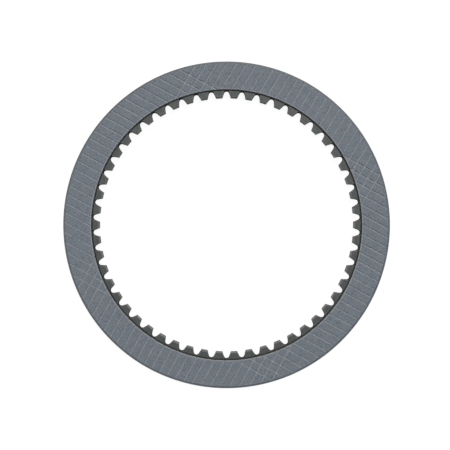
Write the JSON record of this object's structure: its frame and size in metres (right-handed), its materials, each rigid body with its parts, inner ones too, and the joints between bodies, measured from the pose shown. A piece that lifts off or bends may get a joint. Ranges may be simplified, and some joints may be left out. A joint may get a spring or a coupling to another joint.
{
  "type": "clutch friction disc",
  "caption": "Flat annular clutch friction disc: steel plate with an internal tooth spline and a friction facing on each side, cut with crossing groups of parallel grooves.",
  "frame": {"origin": "on the disc's axis, level with the lower friction face that the disc lies on", "axes": "+Z along the disc's axis, up when it lies flat; +X through the middle of a spline tooth"},
  "size_m": [0.1719, 0.172, 0.0048],
  "materials": {
    "core_steel": "dull grey oiled carbon steel, blanked",
    "friction_facing": "matt blue-grey resin-bonded friction lining with fine mottled grain"
  },
  "bodies": {
    "root": {"core_plate": "core_steel", "facing_top": "friction_facing", "facing_bottom": "friction_facing"}
  },
  "joints": []
}
